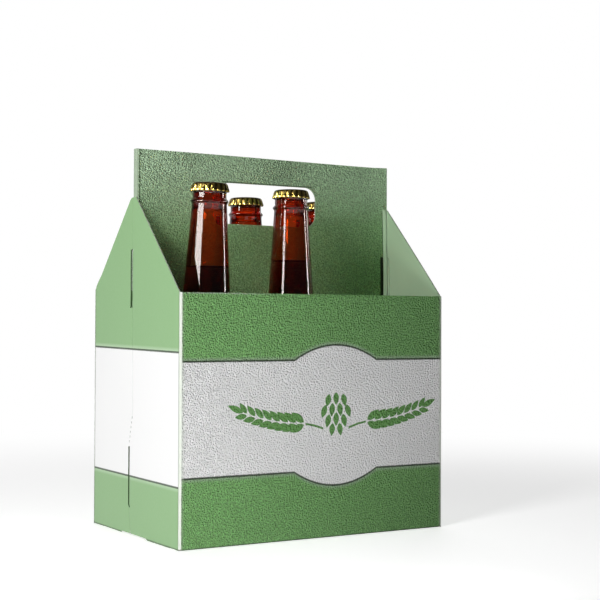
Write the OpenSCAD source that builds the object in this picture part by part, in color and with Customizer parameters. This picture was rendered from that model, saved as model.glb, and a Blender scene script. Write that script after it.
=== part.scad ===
// Six-pack bottle carrier: a folded paperboard basket with a two-ply handle,
// and five capped amber bottles standing in it. The front right cell is empty.
// Millimetres. X along the length, Y from front to back, Z up.
// The origin is the middle of the underside.

/* [Basket] */
// Outside length of the basket
basket_l = 228; // [220:1:250]
// Outside depth of the basket, front to back
basket_d = 155; // [152:1:170]
// Height of the front panel
wall_h = 180.5; // [176:0.5:184]
// Height of the back panel
back_h = 184.5; // [180:0.5:188]
// Height of the gable where the end panel meets the handle
gable_h = 253; // [235:0.5:260]
// Height of the top of the handle
handle_h = 289.3; // [280:0.1:310]
// Length of the blunt shoulder behind the tip of the left gable
tip_round = 6.5; // [0:0.1:8]
// Thickness of the paperboard
board = 0.8; // [0.5:0.1:1]
// Outside radius of the four vertical folds
fold_r = 1.6; // [1.4:0.1:3]

/* [Handle] */
// Length of the hand hole
hole_l = 89; // [75:1:110]
// Height of the lower edge of the hand hole
hole_z = 236; // [225:1:245]
// Height of the hand hole itself
hole_h = 32; // [22:1:34]
// Corner radius of the hand hole
hole_r = 10; // [5:1:11]
// Reach of the handle's narrow end spine to the side of its straight ply
spine_near = 1; // [0.8:0.1:2]
// Reach of the spine to the side of the ply that spreads
spine_far = 4.5; // [3:0.1:5]
// Length over which the two plies spread towards the spine
flare_l = 16; // [8:1:24]

/* [Die cuts] */
// Length of each slit in the end panels
slit_l = 44; // [30:1:50]
// Width of each slit
slit_w = 2; // [0.6:0.1:3]
// Height of the start of the lower slit
slit_low_z = 22; // [15:1:40]
// Height of the start of the upper slit
slit_high_z = 170; // [150:1:175]
// Distance of the upper slits from the middle of the end panel
slit_y = 6; // [5:0.1:8]
// Distance of the lower slits from the middle of the end panel
slit_low_y = 8.9; // [6:0.1:10]
// Width of the slot in the ply beside each slit
ply_gap = 2.6; // [1:0.1:4]
// Distance of that slot from the end of the basket
ply_gap_x = 4.4; // [3:0.1:6]
// Length of the relief in the lower edge of each end panel
relief_l = 44; // [20:1:60]
// Height of that relief
relief_h = 1.2; // [0.5:0.1:2]

/* [Dividers] */
// Distance of the dividers from the middle, along the length
divider_x = 37.2; // [36.8:0.1:37.4]
// Height of each divider strap
strap_h = 30; // [20:1:32]
// Length of the glued tab at the end of each strap
tab_l = 15; // [8:1:20]
// Height of the lowest strap
strap_z = 38; // [30:1:40]
// Step from one strap to the next, front and back in turn
strap_step = 35; // [34:1:36]

/* [Bottle] */
// Outside diameter of the bottle
bottle_d = 70; // [68:0.5:70]
// Height of the bottle with its cap
bottle_h = 260; // [255:1:262]
// Thickness of the glass in the body
glass_t = 3; // [2.5:0.1:4]
// Height at which the shoulder starts
shoulder_z = 132; // [125:1:138]
// Height at which the neck starts
neck_z = 178; // [172:1:184]
// Radius at the foot of the neck
neck_r = 17.4; // [16:0.1:19]
// Radius at the top of the neck
neck_top_r = 12.9; // [12.5:0.1:13]
// Bore of the mouth
bore_d = 16; // [15:0.5:17]
// Height of the drink in the bottle
fill_z = 200; // [190:1:210]
// Height of the lower edge of the paper label
label_z = 31; // [20:1:40]
// Height of the paper label
label_h = 97; // [60:1:98]
// Thickness of the label
label_t = 0.12; // [0.1:0.01:0.2]

/* [Bottle cap] */
// Height of the crimped cap
cap_h = 6.5; // [6:0.1:7]
// Radius over the flutes
cap_r = 14.6; // [14:0.1:15]
// Number of flutes
flutes = 21; // [21:1:21]
// Thickness of the sheet
cap_t = 0.3; // [0.25:0.01:0.35]
// Thickness of the sealing liner
liner_t = 0.6; // [0.4:0.1:0.8]

/* [Hidden] */
$fn = 64;

// Half sizes of the basket
hl = basket_l / 2;
hd = basket_d / 2;
// Start of the part of each ply that spreads to the spine
flare_x = hl - flare_l;
// Lower edge of the centre panel, clear of the bottom seam
centre_z = 2 * board + 1.4;
// Half width of the glued seam along the middle of the bottom
seam = 4.5;
// Middle of each row of cells, front to back
row_y = 38.2;
// Middle of the outer cells
cell_x = 73.2;
// Floor of the cells
floor_z = board;

// Each bottle's foot [x, y, z], its lean [about X, about Y] and its fill height
P_FRONT_LEFT = [[-77.4, -36.2, floor_z + 1.15], [2.2, 0.5], fill_z - 2.5];
P_FRONT_MIDDLE = [[-1.2, -row_y, floor_z], [0, 0], fill_z + 4.8];
P_BACK_LEFT = [[-cell_x, row_y, floor_z], [0, 0], fill_z - 2];
P_BACK_MIDDLE = [[1.2, row_y, floor_z], [0, 0], fill_z + 2];
P_BACK_RIGHT = [[cell_x, row_y, floor_z], [0, 0], fill_z];

CARD = [0.53, 0.70, 0.49];
AMBER = [0.45, 0.16, 0.04];
DRINK = [0.24, 0.05, 0.02];
GOLD = [0.80, 0.66, 0.26];
LABEL = [0.35, 0.55, 0.30];
SEAL = [0.86, 0.86, 0.82];

// A point on a cubic curve with control points a, b, c, d
function bez(a, b, c, d, t) =
    pow(1 - t, 3) * a + 3 * t * pow(1 - t, 2) * b + 3 * t * t * (1 - t) * c + pow(t, 3) * d;
// Points along that curve, with both ends
function curve(a, b, c, d, n) = [for (i = [0:n]) bez(a, b, c, d, i / n)];
// Points along a circular arc
function arc(cx, cz, r, a0, a1, n) = [for (i = [0:n]) let (a = a0 + (a1 - a0) * i / n) [cx + r * cos(a), cz + r * sin(a)]];

// ---------------------------------------------------------------- basket

module rounded(l, d, r) {
    square([l - 2 * r, d], center = true);
    square([l, d - 2 * r], center = true);
    for (sx = [-1, 1], sy = [-1, 1])
        translate([sx * (l / 2 - r), sy * (d / 2 - r)]) circle(r);
}

// Front, back and end panels without the gables
module wall_ring() {
    difference() {
        linear_extrude(max(wall_h, back_h)) difference() {
            rounded(basket_l, basket_d, fold_r);
            rounded(basket_l - 2 * board, basket_d - 2 * board, fold_r - board);
        }
        translate([-hl - 1, -hd - 1, wall_h]) cube([basket_l + 2, hd + 1, 100]);
        translate([-hl - 1, -0.5, back_h]) cube([basket_l + 2, hd + 2, 100]);
    }
}

// The gable of one end panel, from the side panels' height to the handle;
// front and back are where the spine's two edges lie, and round is how far the
// tip keeps a blunt shoulder behind the spine
module gable(front, back, round) {
    rotate([90, 0, 90]) linear_extrude(board)
        polygon(concat([[-(hd - fold_r), wall_h - 0.5], [hd - fold_r, wall_h - 0.5], [hd - fold_r, back_h]],
                 round > 0 ? [[back + round, gable_h - 0.57 * round], [back + 0.54 * round, gable_h - 0.15 * round]] : [],
                 [[back, gable_h], [-front, gable_h], [-(hd - fold_r), wall_h]]));
}

// The centre panel in plan: two plies glued face to face that part near the
// ends and turn into the spine. It looks the same turned end for end.
module centre_plan() {
    k = (flare_l - board) / flare_l;
    difference() {
        polygon([[-hl, -spine_near], [-flare_x, -board], [flare_x, -board], [hl, -spine_far],
                 [hl, spine_near], [flare_x, board], [-flare_x, board], [-hl, spine_far]]);
        for (s = [-1, 1])
            polygon([[s * flare_x, 0],
                     [s * (hl - board), -s * (spine_far - board) * k],
                     [s * (hl - board), s * (spine_near - board) * k]]);
    }
}

module hand_hole() {
    translate([0, 0, hole_z + hole_h / 2]) rotate([90, 0, 0])
        linear_extrude(20, center = true) rounded(hole_l, hole_h, hole_r);
}

// Cut-out that one strap leaves in its own ply; side -1 is the front ply
module strap_window(x, dir, z, side) {
    l = hd - 2 * board + tab_l;
    translate([dir > 0 ? x : x - l, side > 0 ? 0 : -board - 1, z]) cube([l, board + 1, strap_h]);
}

// One divider strap, folded out of its ply, and the tab that holds it to the wall
module strap(x, dir, z, side) {
    translate([x - board / 2, side > 0 ? board / 2 : -hd + board, z])
        cube([board, hd - 1.5 * board, strap_h]);
    translate([dir > 0 ? x - board / 2 : x + board / 2 - tab_l, side > 0 ? hd - 2 * board : -hd + board, z])
        cube([tab_l, board, strap_h]);
}

// The two bottom flaps, lapped and glued along the middle
module bottom() {
    l = basket_l - 2 * board - 0.8;
    translate([-l / 2, -hd + board / 2, 0]) cube([l, hd - board / 2 + seam, board]);
    translate([-l / 2, -seam, board]) cube([l, 2 * seam + 1.6, board]);
    translate([-l / 2, seam + 0.6, 0]) cube([l, 1, 2 * board]);
    translate([-l / 2, seam + 0.6, 0]) cube([l, hd - board / 2 - seam - 0.6, board]);
}

// Slits in the end panel, and the slot in the ply beside them.
// The right end has them in front of the middle, the left end behind it.
module slits(s) {
    for (z = [slit_low_z, slit_high_z]) {
        translate([s * (hl - board / 2), -s * (z == slit_low_z ? slit_low_y : slit_y), z + slit_l / 2])
            cube([3 * board, slit_w, slit_l], center = true);
        translate([s * (hl - ply_gap_x - ply_gap / 2), -s * (spine_far / 2 + 0.6), z + slit_l / 2])
            cube([ply_gap, spine_far, slit_l], center = true);
    }
}

// Relief and notch in the lower edge of an end panel
module end_relief(s) {
    translate([s * hl, 0, 0]) {
        cube([2 * board + 0.6, relief_l, 2 * relief_h], center = true);
        translate([0, -s * slit_y, 0]) rotate([90, 0, 90]) linear_extrude(2 * board + 0.6, center = true)
            polygon([[-2.4, -1], [2.4, -1], [0, 3.4]]);
    }
}

module carrier() {
    color(CARD) difference() {
        union() {
            wall_ring();
            translate([hl - board, 0, 0]) gable(spine_far, spine_near, 0);
            translate([-hl, 0, 0]) gable(spine_near, spine_far, tip_round);
            difference() {
                translate([0, 0, centre_z]) linear_extrude(handle_h - centre_z) centre_plan();
                hand_hole();
                strap_window(-divider_x, 1, strap_z, -1);
                strap_window(divider_x, -1, strap_z + 2 * strap_step, -1);
                strap_window(divider_x, -1, strap_z + strap_step, 1);
                strap_window(-divider_x, 1, strap_z + 3 * strap_step, 1);
            }
            strap(-divider_x, 1, strap_z, -1);
            strap(divider_x, -1, strap_z + 2 * strap_step, -1);
            strap(divider_x, -1, strap_z + strap_step, 1);
            strap(-divider_x, 1, strap_z + 3 * strap_step, 1);
            bottom();
        }
        for (s = [-1, 1]) {
            slits(s);
            end_relief(s);
        }
    }
}

// ---------------------------------------------------------------- bottle

// Radius of the body
br = bottle_d / 2;
// Top of the glass, under the liner and the cap
lip_z = bottle_h - cap_t - liner_t;
// Middle of the ring under the cap
ring_z = bottle_h - 13.7;
// Thickness of the glass at the neck
neck_t = 3.4;

// Outline of the glass outside, from the push-up in the foot to the lip
function outside() = concat(
    curve([0, 4.5], [12, 4.5], [20, 3], [26, 0.4], 5),
    [[27, 0], [28.2, 0]],
    arc(28.2, 6.8, 6.8, -75, 0, 6),
    [[br, 6.8 + 2], [br, shoulder_z]],
    curve([br, shoulder_z], [br, shoulder_z + 24], [neck_r + 1.2, neck_z - 18], [neck_r, neck_z], 14),
    [[neck_top_r, ring_z - 2.4]],
    arc(neck_top_r - 0.2, ring_z, 1.3, -60, 60, 4),
    [[neck_top_r - 0.5, ring_z + 2.2], [neck_top_r - 0.5, ring_z + 6.2], [13.05, ring_z + 7.6]],
    arc(11.85, lip_z - 1.2, 1.2, 0, 70, 4),
    [[11.4, lip_z], [bore_d / 2 + 1, lip_z]]);

// Outline of the glass inside, from the mouth down to the foot
function inside() = concat(
    [[bore_d / 2, lip_z - 1], [bore_d / 2, ring_z - 1], [neck_top_r - neck_t, ring_z - 6], [neck_r - neck_t, neck_z]],
    curve([neck_r - neck_t, neck_z], [neck_r - neck_t + 1.2, neck_z - 19],
          [br - glass_t, shoulder_z + 22], [br - glass_t, shoulder_z - 1.5], 14),
    [[br - glass_t, 15]],
    arc(br - glass_t - 8, 15, 8, 0, -70, 5),
    curve([br - glass_t - 7, 7.2], [18, 8.4], [10, 9], [0, 9], 4));

// Outline of the drink: the inside, a hair smaller, up to the given height
function inner_r(z) = z > neck_z
    ? neck_r - neck_t + (z - neck_z) * (neck_top_r - neck_r) / (ring_z - 6 - neck_z)
    : neck_r - neck_t;
gap = 0.06;
function drink_outline(z) = concat(
    [[0, z], [inner_r(z) - gap, z], [neck_r - neck_t - gap, neck_z]],
    curve([neck_r - neck_t - gap, neck_z], [neck_r - neck_t + 1.2 - gap, neck_z - 19],
          [br - glass_t - gap, shoulder_z + 22], [br - glass_t - gap, shoulder_z - 1.5], 14),
    [[br - glass_t - gap, 15]],
    arc(br - glass_t - 8, 15, 8 - gap, 0, -70, 5),
    curve([br - glass_t - 7, 7.2 + gap], [18, 8.4 + gap], [10, 9 + gap], [0, 9 + gap], 4));

// Puts what follows at one bottle's place
module stand(p) {
    translate(p[0]) rotate([p[1][0], p[1][1], 0]) children();
}

module bottle(p) {
    color(AMBER) stand(p) rotate_extrude() polygon(concat(outside(), inside()));
}

// The drink's surface stays level where its bottle leans
module drink(p) {
    color(DRINK)
    if (p[1][0] == 0 && p[1][1] == 0)
        stand(p) rotate_extrude() polygon(drink_outline(p[2]));
    else
        intersection() {
            stand(p) rotate_extrude() polygon(drink_outline(p[2] + 4));
            translate([p[0][0] - 60, p[0][1] - 80, 0]) cube([120, 120, p[2] + p[0][2]]);
        }
}

// Paper label round the body, its two ends almost meeting at the back
module label(p) {
    color(LABEL) stand(p) rotate([0, 0, 92]) translate([0, 0, label_z])
        rotate_extrude(angle = 356) translate([br + 0.02, 0]) square([label_t, label_h]);
}

// Crimped crown: a thin dished sheet with its skirt pressed into flutes
module cap(p) {
    skirt_r = cap_r - 0.85;
    color(GOLD) stand(p) translate([0, 0, bottle_h - cap_h]) difference() {
        union() {
            rotate_extrude() polygon(concat(
                [[0, 0], [skirt_r, 0], [skirt_r - 0.25, cap_h - 1.6]],
                arc(skirt_r - 1.65, cap_h - 1.4, 1.4, 0, 90, 5), [[0, cap_h]]));
            for (i = [0:flutes - 1]) rotate([0, 0, (i + 0.5) * 360 / flutes])
                translate([skirt_r - 0.15, 0, 0]) cylinder(h = cap_h - 1.5, r1 = 1, r2 = 0.3, $fn = 16);
        }
        rotate_extrude() polygon(concat(
            [[0, -1], [skirt_r - 0.25 - cap_t, -1], [skirt_r - 0.25 - cap_t, cap_h - 1.6]],
            arc(skirt_r - 1.65, cap_h - 1.4, 1.4 - cap_t, 0, 90, 5), [[0, cap_h - cap_t]]));
    }
}

// Soft disc that seals the mouth under the cap
module liner(p) {
    color(SEAL) stand(p) translate([0, 0, lip_z]) cylinder(h = liner_t, r = 12);
}

module bottle_front_left() { bottle(P_FRONT_LEFT); }
module bottle_front_middle() { bottle(P_FRONT_MIDDLE); }
module bottle_back_left() { bottle(P_BACK_LEFT); }
module bottle_back_middle() { bottle(P_BACK_MIDDLE); }
module bottle_back_right() { bottle(P_BACK_RIGHT); }
module drink_front_left() { drink(P_FRONT_LEFT); }
module drink_front_middle() { drink(P_FRONT_MIDDLE); }
module drink_back_left() { drink(P_BACK_LEFT); }
module drink_back_middle() { drink(P_BACK_MIDDLE); }
module drink_back_right() { drink(P_BACK_RIGHT); }
module label_front_left() { label(P_FRONT_LEFT); }
module label_front_middle() { label(P_FRONT_MIDDLE); }
module label_back_left() { label(P_BACK_LEFT); }
module label_back_middle() { label(P_BACK_MIDDLE); }
module label_back_right() { label(P_BACK_RIGHT); }
module cap_front_left() { cap(P_FRONT_LEFT); }
module cap_front_middle() { cap(P_FRONT_MIDDLE); }
module cap_back_left() { cap(P_BACK_LEFT); }
module cap_back_middle() { cap(P_BACK_MIDDLE); }
module cap_back_right() { cap(P_BACK_RIGHT); }
module liner_front_left() { liner(P_FRONT_LEFT); }
module liner_front_middle() { liner(P_FRONT_MIDDLE); }
module liner_back_left() { liner(P_BACK_LEFT); }
module liner_back_middle() { liner(P_BACK_MIDDLE); }
module liner_back_right() { liner(P_BACK_RIGHT); }

carrier();
bottle_front_left();
bottle_front_middle();
bottle_back_left();
bottle_back_middle();
bottle_back_right();
drink_front_left();
drink_front_middle();
drink_back_left();
drink_back_middle();
drink_back_right();
label_front_left();
label_front_middle();
label_back_left();
label_back_middle();
label_back_right();
cap_front_left();
cap_front_middle();
cap_back_left();
cap_back_middle();
cap_back_right();
liner_front_left();
liner_front_middle();
liner_back_left();
liner_back_middle();
liner_back_right();
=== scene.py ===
import math

import bpy
import numpy as np
from mathutils import Matrix, Vector
from mathutils.geometry import delaunay_2d_cdt

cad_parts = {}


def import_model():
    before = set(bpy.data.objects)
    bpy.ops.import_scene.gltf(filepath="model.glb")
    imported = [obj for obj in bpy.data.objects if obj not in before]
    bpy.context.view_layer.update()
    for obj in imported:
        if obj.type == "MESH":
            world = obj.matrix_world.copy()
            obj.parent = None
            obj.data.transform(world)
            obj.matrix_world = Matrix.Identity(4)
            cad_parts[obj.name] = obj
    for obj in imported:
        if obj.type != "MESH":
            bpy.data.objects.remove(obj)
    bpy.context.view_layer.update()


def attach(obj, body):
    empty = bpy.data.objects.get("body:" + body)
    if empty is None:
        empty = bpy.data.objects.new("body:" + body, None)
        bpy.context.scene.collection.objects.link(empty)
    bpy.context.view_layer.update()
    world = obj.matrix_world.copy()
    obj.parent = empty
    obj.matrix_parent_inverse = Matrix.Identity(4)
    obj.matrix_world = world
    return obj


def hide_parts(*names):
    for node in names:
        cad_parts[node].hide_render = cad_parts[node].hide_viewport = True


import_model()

MM = 0.001

# All shapes below are worked out in millimetres, in the part's own frame:
# X along the length, Y from the front panel to the back panel, Z up.
HL, HD = 114.0, 77.5              # half length and half depth of the basket
WALL, BACK = 180.5, 184.5         # heights of the front and the back panel
GABLE, TOP = 253.0, 289.3         # heights of the gable's tip and of the handle
T = 0.8                           # thickness of the board
R = 1.6                           # outside radius of the folds
Q = R * math.pi / 2               # length of board in one fold


# ------------------------------------------------------------------ helpers

def smooth01(lo, hi, x):
    t = np.clip((x - lo) / (hi - lo), 0.0, 1.0)
    return t * t * (3 - 2 * t)


def groove(x, at, sigma):
    return np.exp(-((x - at) / sigma) ** 2)


def arange_to(a, b, step):
    n = max(1, int(round(abs(b - a) / step)))
    return [a + (b - a) * i / n for i in range(n + 1)]


def lines(*parts):
    """Sorted grid lines with close neighbours dropped."""
    out = []
    for x in sorted(v for p in parts for v in p):
        if not out or x - out[-1] > 0.12:
            out.append(x)
    return np.array(out)


def in_poly(p, poly):
    x, y = p[:, 0], p[:, 1]
    hit = np.zeros(len(p), bool)
    for (x0, y0), (x1, y1) in zip(poly, np.roll(poly, -1, 0)):
        if y0 == y1:
            continue
        hit ^= ((y0 > y) != (y1 > y)) & (x < (x1 - x0) * (y - y0) / (y1 - y0) + x0)
    return hit


def edge_dist(p, poly):
    d = np.full(len(p), 1e9)
    for a, b in zip(poly, np.roll(poly, -1, 0)):
        ab = b - a
        n = ab @ ab
        if n < 1e-12:
            continue
        t = np.clip(((p - a) @ ab) / n, 0, 1)
        d = np.minimum(d, np.hypot(*(p - (a + t[:, None] * ab)).T))
    return d


def split(poly, us, vs):
    """An outline with points added where it crosses the grid lines."""
    out = []
    for a, b in zip(poly, np.roll(poly, -1, 0)):
        ts = []
        for k, g in ((0, us), (1, vs)):
            if abs(b[k] - a[k]) > 1e-9:
                t = (g - a[k]) / (b[k] - a[k])
                ts += list(t[(t > 0) & (t < 1)])
        length = math.hypot(*(b - a))
        keep = [0.0]
        for t in sorted(ts):
            if (t - keep[-1]) * length > 0.2 and (1 - t) * length > 0.2:
                keep.append(t)
        out += [a + (b - a) * t for t in keep]
    return np.array(out)


def fill(outer, holes, inks, us, vs):
    """Triangles of a flat sheet, with its holes left out, and which of them lie in a printed shape."""
    outer = np.array(outer, float)
    holes = [np.array(h, float) for h in holes]
    inks = [np.array(k, float) for k in inks]
    g = np.array(np.meshgrid(us, vs)).reshape(2, -1).T
    g = g[in_poly(g, outer)]
    g = g[edge_dist(g, outer) > 0.3]
    for h in holes:
        g = g[~in_poly(g, h)]
        g = g[edge_dist(g, h) > 0.3]
    for k in inks:
        g = g[edge_dist(g, k) > 0.35]
    pts, edges = [], []
    for loop in [split(outer, us, vs)] + [split(h, us, vs) for h in holes] + inks:
        n0 = len(pts)
        pts += [Vector(p) for p in loop]
        edges += [(n0 + i, n0 + (i + 1) % len(loop)) for i in range(len(loop))]
    pts += [Vector(p) for p in g]
    res = delaunay_2d_cdt(pts, edges, [], 1, 1e-6, False)
    p = np.array([tuple(v) for v in res[0]])
    f = np.array([t for t in res[2] if len(t) == 3])
    c = p[f].mean(1)
    keep = in_poly(c, outer)
    for h in holes:
        keep &= ~in_poly(c, h)
    f, c = f[keep], c[keep]
    a, b, d = p[f[:, 0]], p[f[:, 1]], p[f[:, 2]]
    area = (b[:, 0] - a[:, 0]) * (d[:, 1] - a[:, 1]) - (b[:, 1] - a[:, 1]) * (d[:, 0] - a[:, 0])
    f[area < 0] = f[area < 0][:, ::-1]
    ink = np.zeros(len(f), bool)
    for k in inks:
        ink |= in_poly(c, k)
    used = np.unique(f)
    new = np.full(len(p), -1)
    new[used] = np.arange(len(used))
    return p[used], new[f], c, ink


class Build:
    """Gathers closed shells into one mesh."""

    def __init__(self):
        self.v, self.f, self.m, self.n = [], [], [], 0

    def add(self, verts, faces, mats):
        self.v.append(np.asarray(verts, float))
        self.f += [tuple(int(i) + self.n for i in f) for f in faces]
        self.m += list(mats)
        self.n += len(verts)

    def object(self, name, materials, sharp=38):
        me = bpy.data.meshes.new(name)
        me.from_pydata((np.concatenate(self.v) * MM).tolist(), [], self.f)
        for m in materials:
            me.materials.append(m)
        me.polygons.foreach_set("material_index", np.array(self.m, np.int32))
        me.polygons.foreach_set("use_smooth", np.ones(len(me.polygons), bool))
        me.set_sharp_from_angle(angle=math.radians(sharp))
        me.update()
        ob = bpy.data.objects.new(name, me)
        bpy.context.scene.collection.objects.link(ob)
        return ob


def sheet(build, outer, holes, inks, us, vs, place, face_mat, ink_mat, in_mat, rim_mat, seam=None, t=T):
    """A folded sheet of board: outer face, inner face and cut edge. place gives each flat point its place and its normal."""
    p, f, c, ink = fill(outer, holes, inks, us, vs)
    pos, nor = place(p[:, 0], p[:, 1])
    n = len(p)
    same = np.arange(n)
    if seam:
        lo = {round(p[i, 1], 3): i for i in np.where(np.abs(p[:, 0] - seam[0]) < 1e-6)[0]}
        for i in np.where(np.abs(p[:, 0] - seam[1]) < 1e-6)[0]:
            same[i] = lo[round(p[i, 1], 3)]
    f = same[f]
    count = {}
    for a, b, d in f:
        for e in ((a, b), (b, d), (d, a)):
            count[e] = count.get(e, 0) + 1
    rim = [(a, b) for (a, b) in count if (b, a) not in count]
    verts = np.concatenate([pos, pos - nor * t])
    faces = list(map(tuple, f)) + [(a + n, d + n, b + n) for a, b, d in f]
    faces += [(b, a, a + n, b + n) for a, b in rim]
    cut = rim_mat((p[[a for a, _ in rim]] + p[[b for _, b in rim]]) / 2) if callable(rim_mat) else np.full(len(rim), rim_mat)
    mats = np.where(ink, ink_mat, face_mat(c)).tolist() + [in_mat] * len(f) + cut.tolist()
    used = np.unique(np.concatenate([np.array(x) for x in faces]))
    new = np.full(2 * n, -1)
    new[used] = np.arange(len(used))
    build.add(verts[used], [tuple(new[list(x)]) for x in faces], mats)


def rounded_path(pts, radii, closed):
    """Points and outward normals along a plan line with rounded corners, with the run length at each, and where each corner's bend starts and ends."""
    pts = [np.array(p, float) for p in pts]
    n = len(pts)
    xy, nor, bends, run = [], [], [], 0.0

    def put(p, t):
        nonlocal run
        if xy:
            run += math.hypot(*(p - xy[-1][:2]))
        xy.append(np.array([p[0], p[1], run]))
        nor.append((t[1], -t[0]))

    for i in range(n + (1 if closed else 0)):
        p = pts[i % n]
        t0 = p - pts[(i - 1) % n] if closed or i > 0 else pts[i + 1] - p
        t1 = pts[(i + 1) % n] - p if closed or i < n - 1 else t0
        t0, t1 = t0 / math.hypot(*t0), t1 / math.hypot(*t1)
        r = radii[i % n]
        turn = math.atan2(t0[0] * t1[1] - t0[1] * t1[0], t0 @ t1)
        if r <= 0 or abs(turn) < 1e-6:
            put(p, t0)
            bends.append((run, run))
            continue
        s = math.copysign(1, turn)
        start = p - t0 * r * math.tan(abs(turn) / 2)
        centre = start + s * r * np.array([-t0[1], t0[0]])
        k = max(2, int(math.ceil(math.degrees(abs(turn)) / 13)))
        first = None
        for j in range(k + 1):
            a = turn * j / k
            ca, sa = math.cos(a), math.sin(a)
            d = start - centre
            put(centre + np.array([ca * d[0] - sa * d[1], sa * d[0] + ca * d[1]]),
                (ca * t0[0] - sa * t0[1], sa * t0[0] + ca * t0[1]))
            first = run if first is None else first
        bends.append((first, run))
    return np.array(xy), np.array(nor), bends


def along(path, nor, u):
    x = np.interp(u, path[:, 2], path[:, 0])
    y = np.interp(u, path[:, 2], path[:, 1])
    a = np.interp(u, path[:, 2], nor[:, 0])
    b = np.interp(u, path[:, 2], nor[:, 1])
    k = np.hypot(a, b)
    return x, y, a / k, b / k


# ------------------------------------------------------------------ materials

class Tree:
    def __init__(self, name):
        self.mat = bpy.data.materials.new(name)
        self.mat.use_nodes = True
        self.t = self.mat.node_tree
        self.t.nodes.clear()
        self.out = self.add("ShaderNodeOutputMaterial")

    def add(self, kind, **kw):
        n = self.t.nodes.new(kind)
        for k, v in kw.items():
            setattr(n, k, v)
        return n

    def put(self, sock, v):
        if isinstance(v, bpy.types.NodeSocket):
            self.t.links.new(v, sock)
        elif v is not None:
            sock.default_value = v

    def math(self, op, a, b=None, clamp=False):
        n = self.add("ShaderNodeMath", operation=op, use_clamp=clamp)
        self.put(n.inputs[0], a)
        self.put(n.inputs[1], b)
        return n.outputs[0]

    def step(self, x, lo, hi, a=0.0, b=1.0):
        n = self.add("ShaderNodeMapRange", interpolation_type="SMOOTHSTEP")
        for k, v in zip(("Value", "From Min", "From Max", "To Min", "To Max"), (x, lo, hi, a, b)):
            self.put(n.inputs[k], v)
        return n.outputs[0]

    def mix(self, fac, a, b, blend="MIX"):
        n = self.add("ShaderNodeMix", data_type="RGBA", blend_type=blend)
        self.put(n.inputs[0], fac)
        self.put(n.inputs[6], a)
        self.put(n.inputs[7], b)
        return n.outputs[2]

    def coords(self):
        return self.add("ShaderNodeTexCoord").outputs["Object"]

    def xyz(self, vec):
        n = self.add("ShaderNodeSeparateXYZ")
        self.put(n.inputs[0], vec)
        return n.outputs[0], n.outputs[1], n.outputs[2]

    def noise(self, vec, scale, detail=2.0, rough=0.5, distortion=0.0):
        n = self.add("ShaderNodeTexNoise")
        self.put(n.inputs["Vector"], vec)
        n.inputs["Scale"].default_value = scale
        n.inputs["Detail"].default_value = detail
        n.inputs["Roughness"].default_value = rough
        n.inputs["Distortion"].default_value = distortion
        return n.outputs[0]

    def voronoi(self, vec, scale, feature="SMOOTH_F1", smooth=0.6):
        n = self.add("ShaderNodeTexVoronoi", feature=feature)
        self.put(n.inputs["Vector"], vec)
        n.inputs["Scale"].default_value = scale
        if feature == "SMOOTH_F1":
            n.inputs["Smoothness"].default_value = smooth
        return n.outputs["Distance"]

    def bump(self, height, strength, distance, normal=None):
        n = self.add("ShaderNodeBump")
        n.inputs["Strength"].default_value = strength
        n.inputs["Distance"].default_value = distance
        self.put(n.inputs["Height"], height)
        if normal is not None:
            self.put(n.inputs["Normal"], normal)
        return n.outputs[0]

    def shader(self, **kw):
        n = self.add("ShaderNodeBsdfPrincipled")
        for k, v in kw.items():
            self.put(n.inputs[k.replace("_", " ")], v)
        self.t.links.new(n.outputs[0], self.out.inputs["Surface"])
        return n


PALE = (0.46, 0.62, 0.41, 1)
LINE = (0.030, 0.050, 0.028, 1)
GREENS = {
    "front": ((0.206, 0.440, 0.150, 1), (0.223, 0.468, 0.165, 1)),
    "end": ((0.249, 0.434, 0.202, 1), (0.263, 0.453, 0.216, 1)),
    "handle": ((0.525, 0.755, 0.478, 1), (0.548, 0.775, 0.502, 1)),
    "inside": ((0.385, 0.540, 0.350, 1), (0.420, 0.580, 0.385, 1)),
}


def leather(t, v, scale):
    """Height of the pebbled emboss: close round grains with finer ones between them."""
    wn = t.add("ShaderNodeTexNoise")
    t.put(wn.inputs["Vector"], v)
    wn.inputs["Scale"].default_value = 330.0
    wv = t.add("ShaderNodeVectorMath", operation="SCALE")
    t.put(wv.inputs[0], wn.outputs["Color"])
    wv.inputs["Scale"].default_value = 0.0014
    warp = t.add("ShaderNodeVectorMath", operation="ADD")
    t.put(warp.inputs[0], v)
    t.put(warp.inputs[1], wv.outputs[0])
    cells = t.voronoi(warp.outputs[0], scale, smooth=0.4)
    fine = t.noise(v, 1.8 * scale, 1.0, 0.5)
    return t.math("ADD", t.math("MULTIPLY", cells, -1.2), t.math("MULTIPLY", fine, 0.6))


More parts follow.
